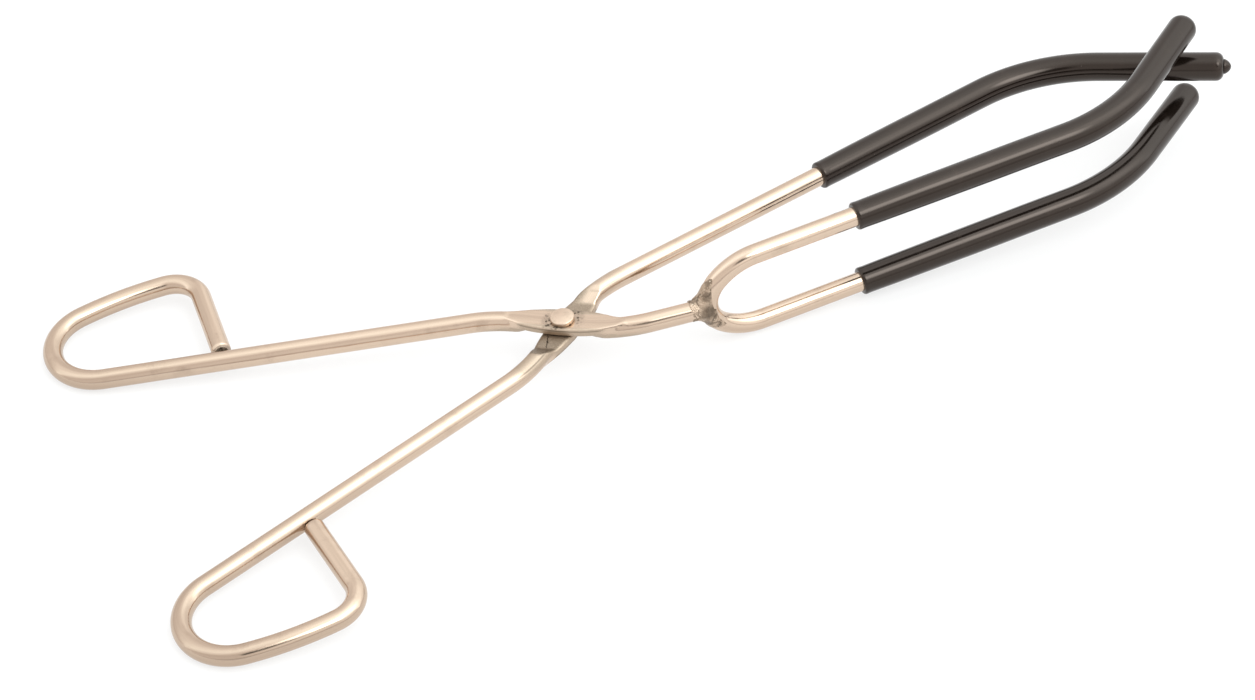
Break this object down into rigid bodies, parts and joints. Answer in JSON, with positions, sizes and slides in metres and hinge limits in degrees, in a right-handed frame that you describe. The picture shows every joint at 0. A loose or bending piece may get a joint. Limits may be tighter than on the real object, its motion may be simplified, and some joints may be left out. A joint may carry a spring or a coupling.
{
  "type": "beaker tongs",
  "caption": "Crossed rod beaker tongs with finger loops, a riveted pivot, a forked jaw welded on as a U, and a single jaw, all in black vinyl sleeves.",
  "frame": {"origin": "on the rivet axis, where the two pressed flats meet", "axes": "+Z along the rivet axis, +X towards the jaws along the bisector of the two shanks, +Y to the side of the finger loop of the fork arm"},
  "size_m": [0.2938, 0.13, 0.0296],
  "materials": {
    "plated_steel": "bright nickel plate, satin on the pressed flats",
    "weld_bead": "lumpy plated weld bead",
    "rivet_steel": "plated, satin",
    "black_vinyl": "dipped vinyl, soft gloss"
  },
  "bodies": {
    "fork_side": {"fork_arm": "plated_steel", "fork_yoke": "plated_steel", "yoke_weld": "weld_bead", "pivot_rivet": "rivet_steel", "fork_upper_sleeve": "black_vinyl", "fork_lower_sleeve": "black_vinyl"},
    "single_side": {"single_jaw_arm": "plated_steel", "single_jaw_sleeve": "black_vinyl"}
  },
  "joints": [
    {"name": "pivot_hinge", "type": "hinge", "parent": "fork_side", "child": "single_side", "pos_m": [0, 0, 0], "axis": [0, 0, 1], "range_deg": [-24, 45]}
  ]
}
